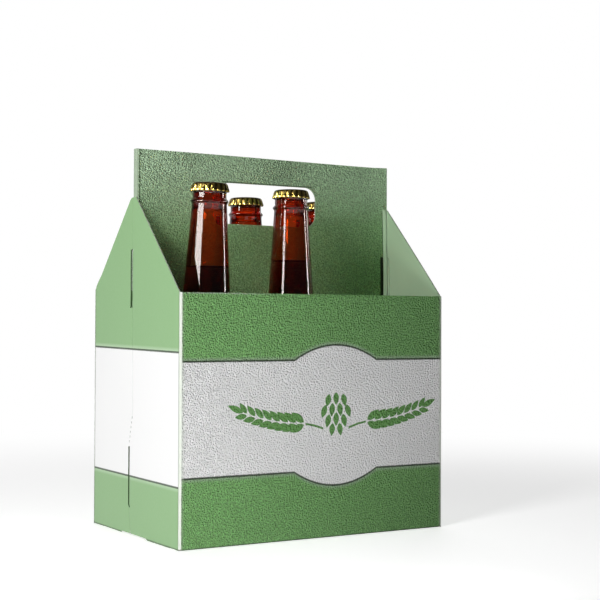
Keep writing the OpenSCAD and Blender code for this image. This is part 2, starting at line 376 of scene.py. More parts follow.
def card(name, kind, grain):
    """Printed board. kind says which panel's print it carries; grain is the strength of the embossed texture."""
    t = Tree(name)
    v = t.coords()
    x, y, z = t.xyz(v)
    ax, ay = t.math("ABSOLUTE", x), t.math("ABSOLUTE", y)
    broad = t.noise(v, 14.0, 2.0)
    fine = t.noise(v, 900.0, 2.0, 0.6)
    patch = t.noise(v, 160.0, 3.0, 0.6)
    green = t.mix(broad, *GREENS[kind])
    if kind == "handle":
        # The green is painted darker downwards and towards the far end, and darkest low at the far end: painted shade,
        # where the front panel and the bottles keep the light off the lower handle
        shade_depth = t.math("ADD", t.step(z, 0.280, 0.215), t.step(x, -0.09, 0.10, 0.0, 0.30))
        green = t.mix(t.math("MINIMUM", shade_depth, 1.0), green, (0.285, 0.525, 0.230, 1))
        # Painted shade, deepest low at the far end of the handle
        low = t.math("MULTIPLY", t.step(z, 0.240, 0.195), t.step(x, 0.02, 0.09))
        green = t.mix(low, green, (0.150, 0.330, 0.112, 1))
    white = t.mix(broad, (0.845, 0.845, 0.845, 1), (0.875, 0.875, 0.87, 1))
    if grain > 0:
        # The green and the white are painted lighter on the raised grains and darker in the pits: painted light and
        # shade of the emboss, on top of the bump
        height = leather(t, v, 820.0 if kind == "handle" else 880.0)
        level = t.math("MULTIPLY", height, t.step(ax, 0.1108, 0.1120, 1.0, 0.0)) if kind == "handle" else height
        green = t.mix(1.0, green, t.step(level, -0.45, 0.25, 1.0 - 0.30 * grain, 1.0 + 0.30 * grain), "MULTIPLY")
        white = t.mix(1.0, white, t.step(level, -0.45, 0.25, 1.0 - 0.05 * grain, 1.0 + 0.04 * grain), "MULTIPLY")
    col = green

    def near(q, at, half, soft):
        return t.step(t.math("ABSOLUTE", t.math("SUBTRACT", q, at)), half, half + soft, 1.0, 0.0)

    def both(*masks):
        m = masks[0]
        for k in masks[1:]:
            m = t.math("MULTIPLY", m, k)
        return m

    if kind in ("front", "end"):
        # White band with a dark line and a pale halo along both edges
        rough_edge = t.math("MULTIPLY", t.math("SUBTRACT", t.noise(v, 700.0, 2.0), 0.5), 0.0007 if kind == "front" else 0.00025)
        if kind == "front":
            side = t.math("SIGN", y)
            xs = t.math("MULTIPLY", t.math("MULTIPLY", x, side), -1.0)
            # Painted falloff of the light: the green is painted lighter at the front panel's left end and the back
            # panel's right end, and darker at their other ends
            green = t.mix(1.0, green, t.step(xs, -0.112, 0.112, 1.66, 1.22), "MULTIPLY")
            q = t.math("DIVIDE", t.math("SUBTRACT", xs, 0.0155), 0.0362)
            arch = t.math("MULTIPLY", t.math("MAXIMUM", t.math("SUBTRACT", 1.0, t.math("MULTIPLY", q, q)), 0.0), 0.0112)
            e = t.math("SUBTRACT", t.math("ABSOLUTE", t.math("SUBTRACT", z, 0.0908)), t.math("ADD", arch, 0.0408))
        else:
            k = t.math("MULTIPLY", t.math("MULTIPLY", t.math("SIGN", x), y), -1.0)
            e = t.math("MAXIMUM", t.math("SUBTRACT", t.math("SUBTRACT", z, 0.1389), t.math("MULTIPLY", k, 0.0107)),
                       t.math("SUBTRACT", t.math("ADD", t.math("MULTIPLY", k, 0.004), 0.0442), z))
        e = t.math("ADD", e, rough_edge)
        outside = t.step(e, -0.0002, 0.0002)
        fade = t.math("MULTIPLY", outside, t.step(e, 0.0010, 0.0040, 0.75, 0.0))
        col = t.mix(outside, white, green)
        col = t.mix(fade, col, PALE)
        line = t.math("MULTIPLY", t.step(e, -0.0008, -0.0002), t.step(e, 0.0006, 0.0012, 1.0, 0.0))
        col = t.mix(t.math("MULTIPLY", line, 0.90), col, LINE)
        # Pale line on the folds: partly board showing through the worn print, partly a painted highlight where the
        # rounded fold catches the light
        corner = t.step(ay, 0.07555, 0.07595)
        col = t.mix(both(t.step(ax, 0.1098, 0.1123, 0.0, 0.40), corner), col, (0.52, 0.60, 0.48, 1))
        col = t.mix(both(t.step(ax, 0.1121, 0.1127), corner, t.step(patch, 0.15, 0.42, 0.78, 1.0)), col, (0.60, 0.64, 0.57, 1))
        # A dark line beside the fold on the end panel: painted shade in the crease
        crease = both(t.step(ay, 0.0747, 0.07515), t.step(ay, 0.0754, 0.0759, 1.0, 0.0), t.step(ax, 0.1125, 0.1132))
        col = t.mix(t.math("MULTIPLY", crease, 0.80), col, (0.05, 0.09, 0.04, 1))
        # Darker lower rim, where the basket meets the floor: a painted contact shadow
        rim = both(t.step(z, 0.0007, 0.0015, 1.0, 0.0), t.step(patch, 0.2, 0.6, 0.55, 1.0))
        col = t.mix(t.math("MULTIPLY", rim, 0.80), col, (0.030, 0.050, 0.025, 1))
    if kind == "front":
        # The upper edge is paler towards one end: partly rubbed board and partly a painted highlight along the edge
        # nearest the light
        rub_and_highlight = both(t.step(z, 0.1792, 0.1799), t.step(y, 0.0, -0.01), t.step(x, -0.02, -0.085), t.step(patch, 0.3, 0.6, 0.35, 1.0))
        col = t.mix(t.math("MULTIPLY", rub_and_highlight, 0.75), col, (0.62, 0.70, 0.58, 1))
    if kind == "end":
        # Scored lines on the handle's line, painted darker: painted shade in the creases
        line_a = t.math("ADD", t.math("MULTIPLY", t.math("SUBTRACT", z, 0.090), 0.0092), 0.0030)
        line_b = t.math("ADD", t.math("MULTIPLY", t.math("SUBTRACT", z, 0.0034), 0.156), 0.0060)
        score = t.math("ADD", both(near(k, line_a, 0.00014, 0.0003), t.step(z, 0.086, 0.091)),
                       both(near(k, line_b, 0.00014, 0.0003), t.step(z, 0.0222, 0.0215)))
        col = t.mix(t.math("MULTIPLY", score, 0.34), col, (0.13, 0.16, 0.12, 1))
        # Dark bands beside the slits: painted shade, where the slits open into the dark
        slit_shade = t.math("ADD", both(near(k, 0.0089, 0.0009, 0.0006), near(z, 0.044, 0.0215, 0.0008)),
                     both(near(k, 0.0060, 0.0015, 0.0007), near(z, 0.192, 0.0215, 0.0008)))
        col = t.mix(t.math("MULTIPLY", slit_shade, 0.85), col, (0.035, 0.090, 0.022, 1))
    if kind == "handle":
        # Spines and folds are rubbed pale. The dark lines beside the left spine, along the right end's fold and under
        # the top of the hand hole are painted shade: shade in the crease and the shadows of the fold and of the hole's
        # cut edge
        col = t.mix(t.step(ax, 0.1116, 0.1124, 0.0, 0.85), col, (0.280, 0.335, 0.258, 1))
        dark = t.math("MAXIMUM", both(near(x, -0.1110, 0.0003, 0.0005), t.step(patch, 0.2, 0.6, 0.5, 1.0)),
                      both(near(t.math("ADD", x, t.step(z, 0.195, 0.254, 0.0, 0.0015)), 0.1093, 0.0004, 0.0005), t.step(z, 0.254, 0.250)))
        dark = t.math("MAXIMUM", dark, both(near(z, 0.2685, 0.0003, 0.0005), t.step(ax, 0.0425, 0.0395)))
        col = t.mix(t.math("MULTIPLY", dark, 0.70), col, (0.040, 0.075, 0.032, 1))
    rough = t.step(fine, 0.2, 0.8, 0.40, 0.52)
    if grain > 0:
        if kind == "front":
            # The emboss is deeper in the green fields than in the white band
            level = t.math("MULTIPLY", t.math("ADD", level, 0.1), t.math("ADD", t.math("MULTIPLY", outside, 2.2), 1.3))
        nrm = t.bump(level, min(1.0, grain), 0.0022 if kind == "handle" else 0.0016)
    else:
        nrm = t.bump(t.noise(v, 420.0, 4.0, 0.62), 0.05, 0.0004)
    t.shader(Base_Color=col, Roughness=rough, Normal=nrm, IOR=1.5, Specular_IOR_Level=0.5 if kind == "end" else 0.2)
    return t.mat


def plain_card(name, dark, pale, scale=1500.0):
    """Near-black board for the faces glued together, the cut edges by the handle's slots and the walls of the slits:
    painted shade, a dark sheet standing for the dark gaps between the plies and in the slits.
    """
    t = Tree(name)
    v = t.coords()
    fib = t.noise(v, scale, 3.0, 0.7)
    t.shader(Base_Color=t.mix(fib, dark, pale), Roughness=t.step(fib, 0.2, 0.8, 0.78, 0.9), Normal=t.bump(fib, 0.5, 0.0002), IOR=1.45)
    return t.mat


def edge_card():
    """Cut edges: pale board, printed over, with painted shade darkening the gable's edge at the right end, the side
    away from the light.
    """
    t = Tree("card_edge")
    v = t.coords()
    x, y, z = t.xyz(v)
    fib = t.noise(v, 1500.0, 3.0, 0.7)
    col = t.mix(fib, (0.34, 0.41, 0.31, 1), (0.58, 0.63, 0.53, 1))
    # Painted shade: the right gable's cut edge is darkened as the side away from the light
    right_edge_shade = t.math("MULTIPLY", t.step(x, 0.1104, 0.1108), t.step(z, 0.1806, 0.1812))
    col = t.mix(t.math("MULTIPLY", right_edge_shade, 0.85), col, (0.085, 0.125, 0.075, 1))
    t.shader(Base_Color=col, Roughness=t.step(fib, 0.2, 0.8, 0.78, 0.9), Normal=t.bump(fib, 0.5, 0.0002), IOR=1.45)
    return t.mat


def ink_card():
    t = Tree("card_ink")
    v = t.coords()
    fine = t.noise(v, 900.0, 3.0, 0.6)
    height = leather(t, v, 610.0)
    col = t.mix(fine, (0.105, 0.270, 0.068, 1), (0.145, 0.320, 0.098, 1))
    # The ink is painted lighter on the raised grains and darker in the pits: painted light and shade of the emboss
    col = t.mix(1.0, col, t.step(height, -0.45, 0.25, 0.78, 1.10), "MULTIPLY")
    t.shader(Base_Color=col, Roughness=t.step(fine, 0.2, 0.8, 0.40, 0.52), Normal=t.bump(height, 1.0, 0.0018), IOR=1.5, Specular_IOR_Level=0.2)
    return t.mat


def absorb(t, colour, density):
    n = t.add("ShaderNodeVolumeAbsorption")
    n.inputs["Color"].default_value = colour
    n.inputs["Density"].default_value = density
    t.t.links.new(n.outputs[0], t.out.inputs["Volume"])


def glass_material():
    t = Tree("amber_glass")
    v = t.coords()
    wave = t.noise(v, 60.0, 2.0)
    t.shader(Base_Color=(1, 1, 1, 1), Roughness=t.step(t.noise(v, 300.0, 3.0), 0.35, 0.85, 0.0, 0.012),
             IOR=1.5, Transmission_Weight=1.0, Normal=t.bump(wave, 0.008, 0.0010))
    absorb(t, (0.912, 0.490, 0.03, 1), 760.0)
    return t.mat


def drink_material():
    t = Tree("drink")
    v = t.coords()
    t.shader(Base_Color=(1, 1, 1, 1), Roughness=t.step(t.noise(v, 120.0, 2.0), 0.2, 0.9, 0.0, 0.02), IOR=1.33, Transmission_Weight=1.0)
    absorb(t, (0.80, 0.30, 0.03, 1), 300.0)
    return t.mat


def cap_material(name, low, high):
    t = Tree(name)
    v = t.coords()
    fleck = t.noise(v, 420.0, 3.0, 0.6)
    dull = t.noise(v, 90.0, 2.0)
    col = t.mix(dull, low, high)
    t.shader(Base_Color=col, Metallic=1.0, Roughness=t.step(fleck, 0.25, 0.8, 0.15, 0.26), Normal=t.bump(fleck, 0.06, 0.0004))
    return t.mat


def label_material():
    t = Tree("label_paper")
    v = t.coords()
    x, y, z = t.xyz(v)
    broad, fine = t.noise(v, 20.0, 2.0), t.noise(v, 900.0, 3.0, 0.6)
    green = t.mix(broad, (0.130, 0.315, 0.090, 1), (0.158, 0.345, 0.112, 1))
    white = t.mix(broad, (0.78, 0.78, 0.77, 1), (0.84, 0.84, 0.83, 1))
    e = t.math("SUBTRACT", t.math("ABSOLUTE", t.math("SUBTRACT", z, 0.0800)), 0.0262)
    col = t.mix(t.step(e, -0.0002, 0.0002), white, green)
    col = t.mix(t.math("MULTIPLY", t.step(e, -0.0003, 0.0), t.step(e, 0.0005, 0.0009, 1.0, 0.0)), col, LINE)
    t.shader(Base_Color=col, Roughness=t.step(fine, 0.2, 0.8, 0.34, 0.46), Normal=t.bump(fine, 0.08, 0.0002), IOR=1.5)
    return t.mat


def liner_material():
    t = Tree("liner_soft")
    v = t.coords()
    n = t.noise(v, 500.0, 3.0)
    t.shader(Base_Color=t.mix(n, (0.70, 0.70, 0.66, 1), (0.80, 0.80, 0.76, 1)), Roughness=t.step(n, 0.2, 0.8, 0.5, 0.65), Normal=t.bump(n, 0.1, 0.0002))
    return t.mat


# ------------------------------------------------------------------ carrier

FRONT_M, END_M, HANDLE_M, INSIDE_M, EDGE_M, INK_M, SLIT_M, CORE_SHADE_M = range(8)
A, B = HL - R, HD - R
U1 = A
U2 = U1 + Q
U3 = U2 + 2 * B
U4 = U3 + Q
U5 = U4 + 2 * A
U6 = U5 + Q
U7 = U6 + 2 * B
U8 = U7 + Q
U9 = U8 + A
CURL = R - Q                      # flat height at which the lower fold ends
FLAP = 80.4                       # length of each bottom flap past the fold


def u_left(y):
    return U2 + (B - y)


def u_right(y):
    return U6 + (y + B)


def u_front(x):
    return U4 + (x + A)


def panel_bow(x, z):
    """How far the long panels lie inside their flat plane."""
    return (np.cos(math.pi * np.clip(x / 228, -0.5, 0.5)) * (0.10 + 0.45 * np.clip(z / 180, 0, 1) ** 2)
            + 0.05 * (1 + np.sin(x / 21.0 + z / 37.0)))


def end_bow(y, z, s):
    """The same for the end panels, with the crease lines pressed into them. s is -1 at the left end."""
    flat = 0.05 * (1 + np.sin(y / 19.0 + z / 41.0 + s))
    k = -s * y
    press = (0.20 * groove(k, 3.0 + (z - 90) * 0.0092, 0.5) * smooth01(86, 91, z) * smooth01(262, 250, z)
             + 0.20 * groove(k, 6.0 + (z - 3.4) * 0.156, 0.5) * smooth01(22.5, 21.0, z))
    return flat + press + 0.16 * groove(np.abs(y), 75.2, 0.45)


def lean_in(z):
    """How far the right-hand gable and handle end stand inside the basket's end at a height."""
    return 1.6 * np.clip((z - 195.0) / 59.0, 0, 1)


def place_wall(u, v):
    n = len(u)
    x, y, nx, ny = (np.zeros(n) for _ in range(4))

    def flat(lo, hi, fx, fy, a, b):
        k = (u >= lo) & (u <= hi)
        x[k], y[k], nx[k], ny[k] = fx(u[k]), fy(u[k]), a, b

    def bend(lo, hi, cx, cy, a0):
        k = (u > lo) & (u < hi)
        a = a0 + (u[k] - lo) / R
        nx[k], ny[k] = np.cos(a), np.sin(a)
        x[k], y[k] = cx + R * nx[k], cy + R * ny[k]

    one = np.ones_like
    flat(-1, U1, lambda q: -q, lambda q: HD * one(q), 0, 1)
    bend(U1, U2, -A, B, math.pi / 2)
    flat(U2, U3, lambda q: -HL * one(q), lambda q: B - (q - U2), -1, 0)
    bend(U3, U4, -A, -B, math.pi)
    flat(U4, U5, lambda q: -A + (q - U4), lambda q: -HD * one(q), 0, -1)
    bend(U5, U6, A, -B, 1.5 * math.pi)
    flat(U6, U7, lambda q: HL * one(q), lambda q: -B + (q - U6), 1, 0)
    bend(U7, U8, A, B, 0)
    flat(U8, U9 + 1, lambda q: A - (q - U8), lambda q: HD * one(q), 0, 1)

    pos = np.stack([x, y, v.astype(float)], 1)
    nor = np.stack([nx, ny, np.zeros(n)], 1)
    long = np.abs(ny) > 0.999
    d = np.zeros(n)
    d[long] = panel_bow(x[long], v[long]) * smooth01(1.6, 22, v[long]) * smooth01(112.4, 96, np.abs(x[long]))
    for s in (-1, 1):
        k = nx * s > 0.999
        d[k] = end_bow(y[k], v[k], s) * smooth01(75.9, 75.4, np.abs(y[k])) + (lean_in(v[k]) if s > 0 else 0.0)
    pos -= nor * d[:, None]

    # The lower edges of the front and back panels turn under into the bottom flaps
    low = long & (v < R)
    a = np.clip((R - v) / R, 0, math.pi / 2)
    run = np.maximum(CURL - v, 0)
    inward = R * (1 - np.cos(a)) + run
    zz = R - R * np.sin(a)
    # The back flap steps up over the front one where they are glued
    yy = HD - inward
    zz = np.where((ny > 0.5) & (run > 0), 0.86 * smooth01(6.9, 4.7, yy), zz)
    slope = np.where((ny > 0.5) & (run > 0), (smooth01(6.9, 4.7, yy - 0.05) - smooth01(6.9, 4.7, yy + 0.05)) * 0.86 / 0.1, 0.0)
    pos[low, 1] = (HD * np.sign(ny) - np.sign(ny) * inward)[low]
    pos[low, 2] = zz[low]
    ca, sa = np.cos(a), np.sin(a)
    k = np.hypot(1, slope)
    nor[low, 1] = np.where(run > 0, -slope / k * np.sign(ny), ca * np.sign(ny))[low]
    nor[low, 2] = np.where(run > 0, -1 / k, -sa)[low]
    return pos, nor


def end_bottom(to_u, s):
    """Lower edge of an end panel, in the order of the run: a relief in the middle, and a notch on the slits' line."""
    pts = [(76, 0), (62, 0.1), (46, 0.15), (30, 0.1), (22.4, 0.0), (21.6, 1.2), (7.2, 1.2), (6.0, 3.4), (4.8, 1.2),
           (-12, 1.2), (-21.0, 1.2), (-22.6, 0.7), (-24.4, 0.0), (-40, 0.0), (-58, 0.0), (-70, 0.25), (-76, 0)]
    pts = [(max(-B, min(B, y)), z) for y, z in pts]
    if s > 0:
        pts = [(-y, z) for y, z in pts]
    return [(to_u(y), z) for y, z in pts]


def corner_curve(a, b, c, n):
    """Rounded corner at b between a and c."""
    a, b, c = map(np.array, (a, b, c))
    return [tuple((1 - t) ** 2 * a + 2 * t * (1 - t) * b + t * t * c) for t in np.linspace(0, 1, n)]


def slit(u, zs, hooks, w):
    """Outline of a thin slit; hooks says to which side each end turns, the lower end first."""
    lo, hi = zs
    mid = [(1.5 * hooks[0], lo), (0.5 * hooks[0], lo + 1.2), (0, lo + 3.0)]
    mid += [(0, lo + (hi - lo) * k / 8) for k in range(1, 8)]
    mid += [(0, hi - 3.4), (0.5 * hooks[1], hi - 1.4), (1.7 * hooks[1], hi)]
    left = [(u + d - w / 2, z) for d, z in mid]
    right = [(u + d + w / 2, z) for d, z in mid]
    return left + right[::-1]


def leaf(x, z, length, width, angle, n=9):
    """Outline of one grain or leaf, pointed at both ends, rooted at x, z."""
    ts = np.linspace(0, 1, n)
    w = width / 2 * np.sin(math.pi * ts ** 0.85) ** 0.9
    p = np.concatenate([np.stack([ts * length, w], 1), np.stack([ts * length, -w], 1)[::-1][1:-1]])
    c, s = math.cos(angle), math.sin(angle)
    return np.stack([x + p[:, 0] * c - p[:, 1] * s, z + p[:, 0] * s + p[:, 1] * c], 1)


def sprig(cx, cz, size):
    """A plain ornament for the band: two ears of barley either side of a small cone of leaves."""
    out = []
    for s in (-1, 1):
        def turn(p):
            q = p.copy()
            q[:, 0] = cx + s * (q[:, 0] - cx)
            return q if s > 0 else q[::-1]
        for i in range(8):
            t = i / 7
            px = cx + 17.5 + 30.0 * t
            pz = cz - 2.0 + 5.0 * t * t
            lean = 0.10 + 0.30 * t
            k = 1.0 - 0.25 * t
            out.append(turn(leaf(px, pz + 0.55, 8.2 * k, 3.5 * k, lean + 0.50)))
            out.append(turn(leaf(px, pz - 0.55, 8.2 * k, 3.5 * k, lean - 0.50)))
        out.append(turn(leaf(cx + 49.5, cz + 3.9, 8.5, 2.9, 0.42)))
        out.append(turn(np.array([(cx + 7.0, cz - 5.2), (cx + 12.0, cz - 3.6), (cx + 16.6, cz - 2.7), (cx + 16.7, cz - 1.8),
                                  (cx + 12.0, cz - 2.6), (cx + 7.0, cz - 4.2)])))
    for row, (z, n, l) in enumerate(((6.4, 3, 6.6), (1.8, 4, 7.0), (-3.0, 3, 7.0), (-7.6, 2, 6.6))):
        for i in range(n):
            off = i - (n - 1) / 2
            out.append(leaf(cx + off * 3.7, cz + z + 5.6 - abs(off) * 0.8, l - 0.6, 3.1, -math.pi / 2 + off * 0.24))
    return [(p - (cx, cz)) * size + (cx, cz) for p in out]


def wall():
    bottom = [(0, CURL - FLAP), (A - 2.0, CURL - FLAP), (A - 0.45, CURL - 6), (A - 0.45, 1.75), (A, 1.75), (A, 0)]
    bottom += [(U2, 0)] + end_bottom(u_left, -1)[1:-1] + [(U3, 0), (U4, 0)]
    bottom += [(U4, 1.75), (U4 + 0.45, 1.75), (U4 + 0.45, CURL - 6), (U4 + 2.0, CURL - FLAP)]
    bottom += [(U5 - 2.0, CURL - FLAP), (U5 - 0.45, CURL - 6), (U5 - 0.45, 1.75), (U5, 1.75), (U5, 0), (U6, 0)]
    bottom += end_bottom(u_right, 1)[1:-1] + [(U7, 0), (U8, 0)]
    bottom += [(U8, 1.75), (U8 + 0.45, 1.75), (U8 + 0.45, CURL - 6), (U8 + 2.0, CURL - FLAP), (U9, CURL - FLAP)]
    top = [(U9, BACK), (U8, BACK), (U7 + 0.6, BACK)]
    top += corner_curve((u_right(76.0), BACK + 0.2), (u_right(74.2), BACK + 4.2), (u_right(64.0), 196.2), 7)
    top += [(u_right(1.0), GABLE), (u_right(-4.5), GABLE), (u_right(-75.4), WALL + 0.3), (U6, WALL), (U5, WALL), (U4, WALL), (U3, WALL)]
    top += [(u_left(-75.4), WALL + 0.3), (u_left(-1.0), GABLE), (u_left(4.5), GABLE), (u_left(6.4), 252.75), (u_left(8.0), 252.0), (u_left(9.6), 250.8), (u_left(11.0), 249.3)]
    top += corner_curve((u_left(64.0), 196.2), (u_left(74.2), BACK + 4.2), (u_left(76.0), BACK + 0.2), 7)
    top += [(U2 - 0.6, BACK), (U1, BACK), (0, BACK)]
    holes = []
    for to_u, s, w in ((u_left, -1, 2.1), (u_right, 1, 0.35)):
        holes.append(slit(to_u(-s * 8.9), (20.5, 66), (1, 0), w))
        holes.append(slit(to_u(-s * 6.0), (170, 214), (-1, 1), w))
        for k in range(6):
            u, z = to_u(-s * (8.5 - 0.92 * k)), 69.0 + 3.6 * k
            holes.append([(u - 0.3, z), (u + 0.3, z), (u + 0.55, z + 1.7), (u - 0.05, z + 1.7)])
    inks = [np.stack([u_front(p[:, 0]), p[:, 1]], 1) for p in sprig(15.5, 88.5, 1.60)]
    bends = [a + Q * i / 7 for a in (U1, U3, U5, U7) for i in range(8)]
    near = [b + k for b in (U1, U3, U5, U7) for k in (-0.5, -0.25)] + [b + k for b in (U2, U4, U6, U8) for k in (0.25, 0.5)]
    press = [to_u(-s * k + d) for to_u, s in ((u_left, -1), (u_right, 1)) for k in arange_to(1.6, 10.4, 0.42) for d in (0,)]
    press += [to_u(k * (75.2 + d)) for to_u in (u_left, u_right) for k in (-1, 1) for d in (-0.9, -0.6, -0.3, 0, 0.3)]
    us = lines(arange_to(0, U1, 4.5), arange_to(U2, U3, 4.5), arange_to(U4, U5, 4.5), arange_to(U6, U7, 4.5), arange_to(U8, U9, 4.5), bends, near, press)
    us = us[(us > 1e-6) & (us < U9 - 1e-6)]
    vs = lines(arange_to(CURL - FLAP, CURL, 5), [CURL + (R - CURL) * i / 6 for i in range(7)], arange_to(R, WALL, 4.5), arange_to(BACK, GABLE, 4.5),
               [CURL - run for run in (70.4, 71.0, 71.6, 72.2)])
    vs = vs[vs > CURL - FLAP + 0.5]

    def face_mat(c):
        k = np.full(len(c), FRONT_M)
        k[(c[:, 0] > U1) & (c[:, 0] < U4)] = END_M
        k[(c[:, 0] > U5) & (c[:, 0] < U8)] = END_M
        return k

    def rim_mat(c):
        k = np.full(len(c), EDGE_M)
        # The walls of the slits and perforations take the near-black slit material: painted shade
        for h in holes:
            k[edge_dist(c, np.array(h, float)) < 0.02] = SLIT_M
        return k

    return bottom + top, holes, inks, us, vs, face_mat, rim_mat


def centre(build):
    """The two plies of the centre panel and the narrow spines that join them at the handle."""
    e = 0.0
    pts = [(75, 0.8), (-98, 0.8), (-HL, 4.5), (-HL, -1.0), (-98, -0.8), (98, -0.8), (HL, -4.5), (HL, 1.0), (98, 0.8)]
    path, nor, bends = rounded_path(pts, [0, 14, 1.4, 1.4, 14, 14, 1.4, 1.4, 14], True)
    length = path[-1, 2]
    h0, a1 = bends[2][0], bends[3][1]
    d0, e1 = bends[6][0], bends[7][1]
    f_mid = (bends[4][1] + bends[5][0]) / 2          # run length where the front ply crosses the middle

    def u_f(x):
        return f_mid + x

    def u_b(x):
        return 75.0 - x

    low = 3.0
    outer = [(0, low), (h0, low), (h0, GABLE - 0.05), (a1, GABLE - 0.05), (a1, low)]
    outer += [(d0, low), (d0, GABLE - 0.05), (e1, GABLE - 0.05), (e1, low), (length, low)]
    outer += [(length, TOP), (0, TOP)]

    def box(u0, u1, z0, z1, r, n):
        out = []
        for cx, cz, a in ((u1 - r, z0 + r, -90), (u1 - r, z1 - r, 0), (u0 + r, z1 - r, 90), (u0 + r, z0 + r, 180)):
            out += [(cx + r * math.cos(math.radians(a + 90 * i / n)), cz + r * math.sin(math.radians(a + 90 * i / n))) for i in range(n + 1)]
        return out

    holes = [box(u_f(-44.5), u_f(44.5), 236, 268, 10, 10), box(u_b(44.5), u_b(-44.5), 236, 268, 10, 10)]
    holes += [box(u_f(-37.2), u_f(53.8), 38, 68, 1.5, 3), box(u_f(-53.8), u_f(37.2), 108, 138, 1.5, 3)]
    holes += [box(u_b(37.2), u_b(-53.8), 73, 103, 1.5, 3), box(u_b(53.8), u_b(-37.2), 143, 173, 1.5, 3)]
    slots = [(h0 - 5.9, h0 - 3.1), (d0 - 5.9, d0 - 3.1)]
    holes += [box(u0, u1, z0, z0 + 44, 0.5, 2) for u0, u1 in slots for z0 in (22, 170)]
    us = lines(path[:, 2], *[arange_to(path[i, 2], path[i + 1, 2], 4.5) for i in range(len(path) - 1) if path[i + 1, 2] - path[i, 2] > 5],
               [b[0] - k for b in bends for k in (0.3, 0.7)], [b[1] + k for b in bends for k in (0.3, 0.7)],
               [q for u0, u1 in slots for q in (u0, u1)])
    us = us[(us > 1e-6) & (us < length - 1e-6)]
    vs = lines(arange_to(low, TOP, 4.5))
    vs = vs[(vs > low + 0.5) & (vs < TOP - 0.5)]

    def place(u, v):
        x, y, nx, ny = along(path, nor, u)
        wave = 0.10 * np.sin(x / 33.0 + v / 45.0) * smooth01(98, 80, np.abs(x))
        x = x - lean_in(v) * smooth01(100, 112, x)
        # The upper edge runs down a little towards the right
        z = v - 1.1 * smooth01(-90, 114, x) * smooth01(270, 288, v)
        pos = np.stack([x, y + wave, z], 1)
        return pos, np.stack([nx, ny, np.zeros(len(u))], 1)

    def face_mat(c):
        k = np.full(len(c), HANDLE_M)
        for _, u1 in slots:
            k[(c[:, 0] > u1) & (c[:, 0] < u1 + 4.5) & (c[:, 1] < GABLE)] = INSIDE_M
        return k

    def rim_mat(c):
        # Cut edges by the slots take the near-black core material: painted shade of the gap behind the ply
        return np.where(((np.abs(c[:, 0] - h0) < 6.2) | (np.abs(c[:, 0] - d0) < 6.2)) & (c[:, 1] < 216), CORE_SHADE_M, EDGE_M)

    sheet(build, outer, holes, [], us, vs, place, face_mat, INK_M, CORE_SHADE_M, rim_mat, (0.0, length), t=T - 0.03)


def strap(build, x, way, z, side):
    """One divider strap, folded out of its ply, and the tab that is glued to the wall."""
    def wall_y(px):
        return side * (HD - T - 0.42 - panel_bow(px, z + 15) * smooth01(112.4, 96, abs(px)))
    pts = [(x, side * 1.25), (x, wall_y(x)), (x + way * 14.6, wall_y(x + way * 14.6))]
    path, nor, bends = rounded_path(pts, [0, 1.5, 0], False)
    end = path[-1, 2]
    outer = [(0, z), (end - 2.5, z), (end, z + 2.5), (end, z + 27.5), (end - 2.5, z + 30), (0, z + 30)]
    us = lines(path[:, 2], *[arange_to(path[i, 2], path[i + 1, 2], 5) for i in range(len(path) - 1) if path[i + 1, 2] - path[i, 2] > 5])
    vs = lines(arange_to(z, z + 30, 5))

    def place(u, v):
        px, py, nx, ny = along(path, nor, u)
        pos = np.stack([px + nx * T / 2, py + ny * T / 2, v.astype(float)], 1)
        return pos, np.stack([nx, ny, np.zeros(len(u))], 1)

    sheet(build, outer, [], [], us, vs, place, lambda c: np.full(len(c), HANDLE_M), INK_M, INSIDE_M, EDGE_M)


def carrier():
    b = Build()
    outer, holes, inks, us, vs, face_mat, rim_mat = wall()
    sheet(b, outer, holes, inks, us, vs, place_wall, face_mat, INK_M, INSIDE_M, rim_mat, (0.0, U9))
    centre(b)
    strap(b, -37.2, 1, 38, -1)
    strap(b, 37.2, -1, 108, -1)
    strap(b, 37.2, -1, 73, 1)
    strap(b, -37.2, 1, 143, 1)
    # The slit and core materials are near black: painted shade for the slits and the gaps between the plies
    mats = [card("card_front", "front", 1.0), card("card_end", "end", 0.0), card("card_handle", "handle", 1.0), card("card_inside", "inside", 0.0),
            edge_card(), ink_card(), plain_card("card_slit", (0.028, 0.075, 0.020, 1), (0.045, 0.105, 0.032, 1)),
            plain_card("card_core_shade", (0.026, 0.042, 0.020, 1), (0.050, 0.070, 0.036, 1), 700.0)]
    ob = b.object("carrier_card", mats)
    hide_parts("carrier")
    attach(ob, "root")
    return ob


# ------------------------------------------------------------------ bottles

def bez(a, b, c, d, n):
    a, b, c, d = map(np.array, (a, b, c, d))
    t = np.linspace(0, 1, n + 1)[:, None]
    return ((1 - t) ** 3 * a + 3 * t * (1 - t) ** 2 * b + 3 * t * t * (1 - t) * c + t ** 3 * d).tolist()


def arc(cx, cz, r, a0, a1, n):
    return [[cx + r * math.cos(math.radians(a0 + (a1 - a0) * i / n)), cz + r * math.sin(math.radians(a0 + (a1 - a0) * i / n))] for i in range(n + 1)]


def clean(profile):
    out = []
    for p in profile:
        if not out or math.hypot(p[0] - out[-1][0], p[1] - out[-1][1]) > 0.02:
            out.append(list(p))
    return out


def lathe(rings, segs):
    """A surface of rings, each a list of (radius, height) or one such pair for all angles; a radius of zero makes a pole."""
    verts, faces, rows = [], [], []
    ang = [2 * math.pi * i / segs for i in range(segs)]
    for ring in rings:
        if not hasattr(ring[0], "__len__") and ring[0] < 1e-6:
            rows.append([len(verts)])
            verts.append((0, 0, ring[1]))
            continue
        rows.append(list(range(len(verts), len(verts) + segs)))
        for i, a in enumerate(ang):
            r, z = ring[i] if hasattr(ring[0], "__len__") else ring
            verts.append((r * math.cos(a), r * math.sin(a), z))
    for p, q in zip(rows, rows[1:]):
        for i in range(segs):
            j = (i + 1) % segs
            if len(p) == 1:
                faces.append((p[0], q[j], q[i]))
            elif len(q) == 1:
                faces.append((p[i], p[j], q[0]))
            else:
                faces.append((p[i], p[j], q[j], q[i]))
    return np.array(verts), faces


